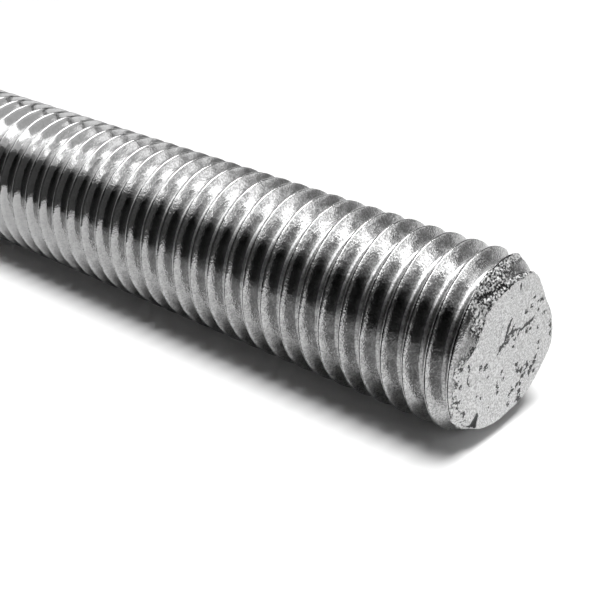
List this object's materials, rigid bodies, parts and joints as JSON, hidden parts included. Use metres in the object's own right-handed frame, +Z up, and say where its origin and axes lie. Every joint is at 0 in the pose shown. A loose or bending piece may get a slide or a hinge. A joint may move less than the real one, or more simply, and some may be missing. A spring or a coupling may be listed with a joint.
{
  "type": "threaded rod",
  "caption": "Cut length of fully threaded steel rod with a coarse right-hand rolled thread, a rough sawn end a little out of square and a chamfered end.",
  "frame": {"origin": "under the middle of the rod, on the plane that it lies on", "axes": "+X along the rod towards the rough sawn end, +Z up"},
  "size_m": [0.1529, 0.0188, 0.0189],
  "materials": {
    "zinc_plated_steel": "bright zinc plating on rolled thread, with bare sawn steel at one end"
  },
  "bodies": {
    "root": {"threaded_rod": "zinc_plated_steel"}
  },
  "joints": []
}
